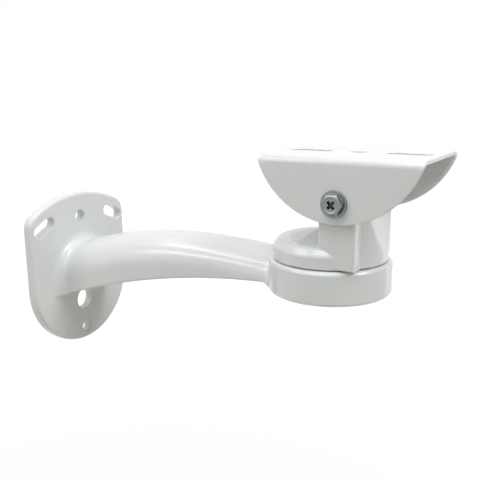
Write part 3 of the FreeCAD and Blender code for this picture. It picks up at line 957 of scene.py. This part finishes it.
@dataclass
class PanHead:
    """Casting that turns on the socket: disc with spigot, neck, ramp and the pads of the pivot.

    The disc is a radius, a bottom and a top; its edge falls, comes in and is softened by three
    lengths. Seat and spigot are a radius and a bottom, the pan screw's hole a radius and a top,
    the pivot's holes a radius, a start and an end. The ramp is a top, an angle and a round.
    """

    centre_x: float = PAN_X
    pivot: Pair = PIVOT
    disc: Triple = (22.6, 25.1, 32.8)
    disc_edge: Triple = (2.9, 2.1, 2.6)
    seat: Pair = (21.4, 24.7)
    spigot: Pair = (14.92, 21.6)
    screw_hole: Pair = (2.54, 30.25)
    pivot_hole: Triple = (2.54, 8.65, 21.0)
    pad_half: float = 7.15
    pad_face_y: float = 20.05
    pad_round: float = 1.1
    neck_face_y: float = 15.25
    ramp: Triple = (40.3, 31.5, 7.0)
    ramp_foot: float = 30.0
    ramp_inside: float = 3.0
    ramp_edge: float = 0.9
    lean: float = 12.0
    neck_proud: float = 0.5
    neck_soft: float = 0.3
    neck_half: float = 14.6
    neck_foot: float = 29.0
    neck_grid: tuple[int, int] = (24, 60)

    def base(self) -> Shell:
        """Disc, seat and spigot turned about the pan axis, with the blind hole of its screw.

        Returns:
            The surface.
        """
        radius, bottom, top = self.disc
        hole, hole_top = self.screw_hole
        fall, inset, soft = self.disc_edge
        spigot, foot = self.spigot
        seat, level = self.seat
        inside = [(0.0, hole_top, 0.0), (hole, hole_top, 0.0), (hole, foot, 0.2)]
        under = [(spigot, foot, 0.4), (spigot, level, 0.0), (seat, level, 0.15)]
        edge = [(seat, bottom, 0.0), (radius, bottom, 0.3), (radius, top - fall, soft)]
        face = [(radius - inset, top, soft), (0.0, top, 0.0)]
        profile = rounded(inside + under + edge + face, steps=10)
        first = int(np.argmin(np.hypot(profile[:, 0], profile[:, 1] - hole_top)))
        profile = np.roll(profile, -first, axis=0)
        return turned(profile, Seat((self.centre_x, 0.0, 0.0)), steps=160, closed=False)

    def upright(self, line: Array, half: float, edge: float, steps: int) -> Shell:
        """Slab whose outline stands along X and Z, as thick as twice the half, with soft edges."""
        return slab([Rim(line, edge, edge)], -half, half, Seat(axis=Axis.Y).put, steps=steps)

    def pads(self) -> Shell:
        """Upright with a round top about the pivot, rounded where it ends in the two pads.

        Returns:
            The surface.
        """
        x = self.pivot[0]
        foot = np.array([[x - self.pad_half, self.disc[1]], [x + self.pad_half, self.disc[1]]])
        outline = joined(foot, arc(self.pivot, self.pad_half, 0.0, 180.0, steps=40))
        return self.upright(outline, self.pad_face_y, self.pad_round, steps=7)

    def slope(self) -> Shell:
        """Ramp behind the pads, which rises from the disc and turns up into them.

        Returns:
            The surface.
        """
        top, angle, turn = self.ramp
        back, high = self.pivot[0] - self.pad_half, self.pivot[1]
        inside = back + self.ramp_inside
        foot = back - (top - self.ramp_foot) / math.tan(math.radians(angle))
        corners = [(foot, self.ramp_foot), (inside, self.ramp_foot), (inside, high), (back, high)]
        line = rounded([*((x, z, 0.0) for x, z in corners), (back, top, turn)], steps=12)
        return self.upright(line, self.neck_face_y, self.ramp_edge, steps=5)

    def front(self) -> Shell:
        """Leaning front of the neck.

        At each height and distance across, x is the soft minimum of the leaning plane and the
        disc's own cylinder. A straight back inside the pads closes it.

        Returns:
            The surface.
        """
        rows, columns = self.neck_grid
        x, z = self.pivot
        lean = math.radians(self.lean)
        reach = self.pad_half + self.neck_proud
        top_x, top_z = x + reach * math.cos(lean), z + reach * math.sin(lean)
        across = np.linspace(-self.neck_half, self.neck_half, columns)
        height = np.linspace(self.neck_foot, top_z, rows)[:, None]
        plane = top_x + (top_z - height) * math.tan(lean)
        column = self.centre_x + np.sqrt(self.disc[0] ** 2 - across**2)
        face = soft_least(plane, column, self.neck_soft)
        outline = np.concatenate([face, np.full((rows, columns), x)], axis=1)
        points = Seat().put(outline, np.concatenate([across, across[::-1]]), height)
        return Shell(points, capped_faces(rows, 2 * columns))

    def build(self, finish: bpy.types.Material) -> None:
        """Join the casting's forms, drill the pivot holes and dress it.

        Args:
            finish: material of the casting.
        """
        piece = self.base().build("head_casting")
        combined(piece, [self.pads(), self.slope(), self.front()], Join.ADD)
        radius, start, end = self.pivot_hole
        hole = np.array([(0.0, start), (radius, start), (radius, end), (0.0, end)])
        x, z = self.pivot
        seats = [Seat((x, 0.0, z), Axis.Y, way) for way in (-1.0, 1.0)]
        drills = [turned(hole, seat, steps=48, closed=False) for seat in seats]
        combined(piece, drills, Join.CUT)
        finished(piece, finish, Body.HEAD, Slot.PAINT, "pan_head")


@dataclass
class Saddle:
    """Folded sheet that carries the camera: a flat top and two cheeks cut to one arc.

    A slot is half its length and half its width. The rollover is the rounding of the outer edge
    on the sheet's inner side. The clearances keep the points along the bends off the blank's
    arcs, off its ends and within its length.
    """

    pivot: Pair = PIVOT
    top: float = 66.5
    half_length: float = 31.2
    half_width: float = 22.2
    sheet: float = 2.0
    drop: float = 24.1
    bend: float = 1.0
    slot_pitch: float = 38.0
    slot_half: Pair = (9.0, 3.25)
    centre_hole: float = 3.3
    pivot_hole: float = 2.58
    rim: float = 0.35
    rollover: float = 1.4
    clearances: Triple = (0.6, 0.4, 1.0)
    arc_steps: int = 97
    end_steps: int = 24
    bend_grid: tuple[int, int] = (7, 61)

    def bend_axis(self) -> Triple:
        """Where a bend lies: the radius of the sheet's middle, and the axis's y and z."""
        outer = self.bend + self.sheet
        return self.bend + self.sheet / 2.0, self.half_width - outer, self.top - outer

    def cheek_arc(self) -> Pair:
        """Radius of the arc that the cheeks are cut to, and the height of its centre.

        With l half the length and d the arc's depth, the radius is (d^2 + l^2) / 2 d.

        Returns:
            Both lengths.
        """
        depth = self.drop - self.sheet
        radius = (depth**2 + self.half_length**2) / (2.0 * depth)
        return radius, self.top - self.drop + radius

    def fold(self, across: Array, along: Array, height: Array) -> Array:
        """Fold the flat blank.

        The middle of the sheet stays flat up to s0, turns through an angle (s - s0) / r about
        the bend's axis, and then runs straight down: y = s0 + (r + h) sin a and
        z = zc + (r + h) cos a, with h the height from the middle of the sheet.

        Args:
            across: distances from the pivot along the sheet.
            along: distances s from the blank's middle line.
            height: distances from the middle of the sheet.

        Returns:
            The folded points.
        """
        middle, axis_y, axis_z = self.bend_axis()
        reach = np.abs(along) - axis_y
        angle = np.clip(reach / middle, 0.0, math.pi / 2.0)
        below = np.maximum(reach - middle * math.pi / 2.0, 0.0)
        y = axis_y + np.minimum(reach, 0.0) + (middle + height) * np.sin(angle)
        z = axis_z + (middle + height) * np.cos(angle) - below
        return np.stack([across + self.pivot[0], np.sign(along) * y, z], axis=-1)

    def unfolded(self, z: Array | float) -> Array:
        """Distance from the blank's middle to where the sheet comes down to a height.

        Args:
            z: heights.

        Returns:
            The distance for each.
        """
        middle, axis_y, axis_z = self.bend_axis()
        turn = np.arccos(np.clip((z - axis_z) / middle, 0.0, 1.0))
        return axis_y + middle * turn + np.maximum(axis_z - z, 0.0)

    def outline(self) -> Array:
        """Blank's outline: straight ends, and an arc on each side that starts under the sheet.

        Returns:
            The closed line.
        """
        radius, centre = self.cheek_arc()
        swing = math.asin(self.half_length / radius)
        angle = np.linspace(swing, -swing, self.arc_steps)
        height = self.unfolded(centre - radius * np.cos(angle))
        bow = np.stack([radius * np.sin(angle), height], axis=-1)
        end = np.linspace(-bow[0, 1], bow[0, 1], self.end_steps)[:-1]
        straight = np.stack([np.full(len(end), self.half_length), end], axis=-1)
        return joined(straight, bow, -straight, -bow)

    def fold_lines(self) -> Array:
        """Points in rows along both bends, clear of the blank's outline.

        Returns:
            The points on the blank.
        """
        middle, axis_y, axis_z = self.bend_axis()
        radius, centre = self.cheek_arc()
        beside, behind, margin = self.clearances
        rows, columns = self.bend_grid
        end = self.half_length - margin
        across = np.linspace(-end, end, columns)
        turn = np.linspace(0.0, math.pi / 2.0, rows)
        fall = np.maximum(centre - (axis_z + middle * np.cos(turn)), 0.0)
        room = np.sqrt(np.maximum(radius**2 - fall**2, 0.0)) - self.rollover - beside
        room = np.minimum(room, self.half_length - self.rollover - behind)[:, None]
        across, line = np.broadcast_arrays(across, (axis_y + middle * turn)[:, None])
        row = np.stack([across, line], axis=-1)[np.abs(across) < room]
        return np.concatenate([row, row * (1.0, -1.0)])

    def build(self, finish: bpy.types.Material) -> None:
        """Cut the blank, fold it and dress it.

        Args:
            finish: material of the sheet.
        """
        length, half = self.slot_half
        straight = length - half
        holes = []
        for middle in (-self.slot_pitch / 2.0, self.slot_pitch / 2.0):
            right = arc((middle + straight, 0.0), half, -90.0, 90.0, steps=20)
            left = arc((middle - straight, 0.0), half, 90.0, 270.0, steps=20)
            holes.append(joined(right, left))
        pivot_s = float(self.unfolded(self.pivot[1]))
        centres = ((0.0, self.centre_hole), (-pivot_s, self.pivot_hole), (pivot_s, self.pivot_hole))
        holes += [circle((0.0, s), radius, steps=41) for s, radius in centres]
        rims = [Rim(self.outline(), self.rollover, self.rim)]
        rims += [Rim(line, self.rim, self.rim) for line in holes]
        half = self.sheet / 2.0
        piece = slab(rims, -half, half, self.fold, self.fold_lines()).build("saddle_sheet")
        finished(piece, finish, Body.SADDLE, Slot.PAINT, "saddle")


@dataclass
class ScrewSet:
    """Screw with a hexagonal head and a cross recess, on a spring washer and a flat washer.

    The head's face is the radius of its chamfer at the top; its foot is a radius on the
    underside, then how far the lower edge comes in and up. The dish is two radii and a depth,
    and its step is how far its two edges are softened. The cross is a reach, half a width, a
    depth, the draw of its blades and the round at their roots. Washers are a radius and a
    thickness.
    """

    name: str
    seat: Seat
    flats: float = 7.2
    head_height: float = 1.7
    head_points: int = 144
    face: float = 3.05
    chamfer_angle: float = 30.0
    chamfer_rows: int = 6
    foot: Triple = (3.3, 0.1, 0.08)
    past_corners: float = 6.0
    below_chamfer: float = 0.03
    head_soft: float = 0.05
    dish: Triple = (2.8, 2.45, 0.25)
    dish_step: Pair = (0.1, 0.04)
    cross: tuple[float, ...] = (2.05, 0.6, 1.3, 0.35, 0.06)
    cross_edge: float = 0.08
    cross_over: float = 0.3
    shank: Pair = (2.5, 12.0)
    shank_start: float = 0.4
    shank_grid: tuple[int, int] = (121, 40)
    shank_point: float = 0.625
    pitch: float = 0.8
    groove: float = 0.42
    plain_shank: float = 2.2
    run_out: float = 0.8
    flat_washer: Pair = (5.0, 0.7)
    spring_washer: Pair = (4.1, 0.8)
    washer_hole: float = 2.75
    washer_edge: float = 0.14
    split: float = 10.0

    def head_seat(self) -> Seat:
        """Seat of the head's underside, on both washers."""
        return self.seat.raised(self.flat_washer[1] + self.spring_washer[1])

    def head(self) -> Shell:
        """Hexagonal head with a shallow round dish in its face.

        Its radius is the soft minimum of the hexagon, a / cos(angle from the flat's middle), and
        the limit of each row, which is the chamfer's cone near the top.

        Returns:
            The surface.
        """
        angle = np.linspace(0.0, 2.0 * math.pi, self.head_points, endpoint=False)
        hexagon = self.flats / 2.0 / np.cos(angle % (math.pi / 3.0) - math.pi / 6.0)
        top, corner = self.head_height, self.flats / math.sqrt(3.0)
        fall = (corner - self.face) * math.tan(math.radians(self.chamfer_angle))
        under, foot_in, foot_up = self.foot
        past = self.past_corners
        lower = [(0.0, 0.0), (under, 0.0), (corner - foot_in, 0.0), (past, foot_up)]
        lower.append((past, top - fall - self.below_chamfer))
        bevel = np.linspace(0.0, 1.0, self.chamfer_rows)
        chamfer = [corner + (self.face - corner) * bevel, top - fall * (1.0 - bevel)]
        brim, floor, sunk = self.dish
        across, down = self.dish_step
        deep = top - sunk
        upper = [(brim + across, top), (brim, top - down), (floor + across, deep + down)]
        upper += [(floor, deep), (0.0, deep)]
        limit, level = np.concatenate([lower, np.stack(chamfer, axis=-1), upper]).T[:, :, None]
        radius = soft_least(hexagon, limit, self.head_soft * np.minimum(limit, 1.0))
        radius = np.where(limit == 0.0, 0.0, radius)
        faces = grid_faces(len(level), self.head_points)
        return Shell(self.head_seat().around(radius, angle, level), faces)

    def recess(self) -> Shell:
        """Cross recess: two blades at 45 degrees that narrow with depth.

        Returns:
            The surface of what is cut out.
        """
        reach, half, depth, draw, root = self.cross
        along, beside = np.array([(reach, -half), (reach, half), (half + root, half + root)]).T
        turn = np.radians([45.0, 135.0, 225.0, 315.0])[:, None]
        u = along * np.cos(turn) - beside * np.sin(turn)
        v = along * np.sin(turn) + beside * np.cos(turn)
        line = np.stack([u, v], axis=-1).reshape(-1, 2)
        top, seat = self.head_height, self.head_seat()

        def narrow(across: Array, up: Array, height: Array) -> Array:
            """Draw each level in towards the axis as it goes deeper."""
            scale = 1.0 - draw * np.clip((top - height) / depth, 0.0, 1.0)
            return seat.put(across * scale, up * scale, height)

        rims = [Rim(line, self.cross_edge, 0.0)]
        return slab(rims, top - depth, top + self.cross_over, narrow, steps=3)

    def thread(self) -> Shell:
        """Shank with its thread: the radius falls by a triangle wave of height / pitch + turns.

        Returns:
            The surface.
        """
        radius, length = self.shank
        rows, columns = self.shank_grid
        angle = np.linspace(0.0, 2.0 * math.pi, columns, endpoint=False)
        level = np.linspace(self.shank_start, -length, rows)[:, None]
        phase = level / self.pitch + angle / (2.0 * math.pi)
        wave = np.abs(2.0 * (phase - np.floor(phase)) - 1.0)
        share = np.clip((-level - self.plain_shank) / self.run_out, 0.0, 1.0)
        tip = np.clip(level + length, 0.0, self.shank_point)
        ring = np.minimum(radius - self.groove * wave * share, radius - self.shank_point + tip)
        pole = np.zeros((1, columns))
        ring = np.concatenate([pole, ring, pole])
        level = np.concatenate([level[:1], level, level[-1:]])
        points = self.head_seat().around(ring, angle, level)
        return Shell(points, grid_faces(len(level), columns))

    def washer(self, seat: Seat, size: Pair, gap: float) -> Shell:
        """Ring with broken edges.

        Args:
            seat: where the ring's lower face stands.
            size: outer radius and thickness.
            gap: degrees that it is cut open by.

        Returns:
            The surface.
        """
        outer, thick = size
        inner, edge = self.washer_hole, self.washer_edge
        corners = [(inner, 0.0), (outer, 0.0), (outer, thick), (inner, thick)]
        profile = rounded([(*corner, edge) for corner in corners], steps=4)
        return turned(profile, seat, steps=96, gap=gap)

    def build(self, finish: bpy.types.Material) -> None:
        """Make and dress the screw and its two washers.

        Args:
            finish: material of all three.
        """
        screw = self.head().build(f"{self.name}_hex_screw")
        combined(screw, [self.thread()], Join.ADD)
        combined(screw, [self.recess()], Join.CUT)
        finished(screw, finish, Body.HEAD, Slot.ZINC, f"{self.name}_screw")
        above_flat = self.seat.raised(self.flat_washer[1])
        rings = {
            "flat_washer": self.washer(self.seat, self.flat_washer, 0.0),
            "spring_washer": self.washer(above_flat, self.spring_washer, self.split),
        }
        for kind, shell in rings.items():
            ring = shell.build(f"{self.name}_{kind}_ring")
            finished(ring, finish, Body.HEAD, Slot.ZINC, f"{self.name}_{kind}")


@dataclass(frozen=True)
class SoftLight:
    """Rectangular lamp in a direction from the bracket, aimed back at it; lengths in metres."""

    name: str
    azimuth: float
    elevation: float
    distance: float
    size: Pair
    watts: float
    target: Triple = (0.10, 0.0, 0.02)

    def build(self) -> None:
        """Add the lamp to the scene."""
        data = bpy.data.lights.new(self.name, "AREA")
        data.shape = "RECTANGLE"
        data.size, data.size_y = self.size
        data.energy = self.watts
        turn, rise = math.radians(self.azimuth), math.radians(self.elevation)
        flat = math.cos(rise)
        way = Vector((flat * math.cos(turn), flat * math.sin(turn), math.sin(rise)))
        lamp = linked(bpy.data.objects.new(self.name, data))
        lamp.location = Vector(self.target) + way * self.distance
        lamp.rotation_euler = (-way).to_track_quat("-Z", "Y").to_euler()


@dataclass
class Studio:
    """Camera, lamps, world and the white floor."""

    camera_place: Triple = (241.0, -237.09, 90.91)
    camera_target: Triple = (97.38, 0.0, 26.78)
    camera_roll: float = -0.0098
    camera_clip: Pair = (0.01, 20.0)
    lens: float = 50.0
    sensor: float = 36.0
    world_light: float = 0.15
    world_tint: Triple = (1.0, 0.97, 0.9)
    floor_z: float = -320.0
    floor_reach: float = 6000.0
    lamps: tuple[SoftLight, ...] = (
        SoftLight("lamp_key", 10.0, 50.0, 0.85, (0.3, 0.3), 1.9),
        SoftLight("lamp_right", 0.0, 35.0, 0.85, (0.3, 0.3), 1.8),
        SoftLight("lamp_top", 0.0, 89.0, 0.85, (0.7, 0.6), 1.45),
        SoftLight("lamp_above", -90.0, 65.0, 0.85, (0.36, 0.36), 2.1),
        SoftLight("lamp_front", -90.0, 35.0, 0.90, (0.5, 0.5), 0.72),
        SoftLight("lamp_left", -130.0, 20.0, 0.90, (0.5, 0.5), 0.45),
        SoftLight("lamp_strip", -140.0, 48.0, 0.80, (0.40, 0.13), 0.75),
        SoftLight("lamp_west_strip", -167.0, 50.0, 0.80, (0.45, 0.12), 0.2),
        SoftLight("lamp_low_strip", -128.0, 29.0, 0.80, (0.30, 0.10), 0.55),
        SoftLight("lamp_back_strip", 60.0, -3.0, 0.80, (0.12, 0.40), 0.12),
    )

    def build(self) -> None:
        """Set up the whole studio."""
        self.aim_camera()
        self.light_world()
        for lamp in self.lamps:
            lamp.build()
        self.lay_floor()
        bpy.context.scene.view_settings.view_transform = "Standard"

    def aim_camera(self) -> None:
        """Stand the camera where the photograph was taken from.

        The image's right and up are turned about the line of sight by the roll angle.
        """
        place = Vector(self.camera_place) * METRES
        back = (place - Vector(self.camera_target) * METRES).normalized()
        level = Vector((0.0, 0.0, 1.0)).cross(back).normalized()
        rise = back.cross(level)
        right = level * math.cos(self.camera_roll) + rise * math.sin(self.camera_roll)
        data = bpy.data.cameras.new("photo_camera")
        data.lens = self.lens
        data.sensor_width = self.sensor
        data.clip_start, data.clip_end = self.camera_clip
        camera = linked(bpy.data.objects.new("photo_camera", data))
        turn = Matrix((right, back.cross(right), back)).transposed().to_4x4()
        camera.matrix_world = Matrix.Translation(place) @ turn
        bpy.context.scene.camera = camera

    def light_world(self) -> None:
        """White to the camera and in reflections, softer as light."""
        graph = Graph(bpy.data.worlds.new("studio_world"))
        light = {"Color": (*self.world_tint, 1.0), "Strength": self.world_light}
        soft = graph.add("ShaderNodeBackground", light)
        white = graph.add("ShaderNodeBackground", {"Color": WHITE})
        mix = graph.add("ShaderNodeMixShader", [graph.seen(), soft, white])
        bpy.context.scene.world = graph.finish(mix, "ShaderNodeOutputWorld")

    def lay_floor(self) -> None:
        """Lay one wide white floor below the bracket."""
        reach = METRES * self.floor_reach
        corners = [(-reach, -reach), (reach, -reach), (reach, reach), (-reach, reach)]
        mesh = bpy.data.meshes.new("studio_floor")
        mesh.from_pydata([(x, y, METRES * self.floor_z) for x, y in corners], [], [(0, 1, 2, 3)])
        mesh.materials.append(StudioWhite("studio_floor_white").build())
        linked(bpy.data.objects.new("studio_floor", mesh))


def main() -> None:
    """Build every sub-assembly in order, then the studio."""
    logging.basicConfig(level=logging.INFO, format="%(message)s")
    cast = PaintFinish("cast_white_paint", (2.0, 0.005), (15.0, 0.08)).build()
    sheet = PaintFinish("sheet_white_paint", (1.6, 0.004), (40.0, 0.04)).build()
    WallArm().build(cast)
    PanHead().build(cast)
    Saddle().build(sheet)
    pivot_x, pivot_z = PIVOT
    seats = {
        "front_pivot": Seat((pivot_x, -PIVOT_SEAT_Y, pivot_z), Axis.Y, -1.0),
        "rear_pivot": Seat((pivot_x, PIVOT_SEAT_Y, pivot_z), Axis.Y, 1.0),
        "pan": Seat((PAN_X, 0.0, PAN_SEAT_Z), Axis.Z, -1.0),
    }
    for name, seat in seats.items():
        ScrewSet(name, seat).build(ZincFinish(f"zinc_{name}", seat).build())
    Studio().build()


if __name__ == "__main__":
    main()
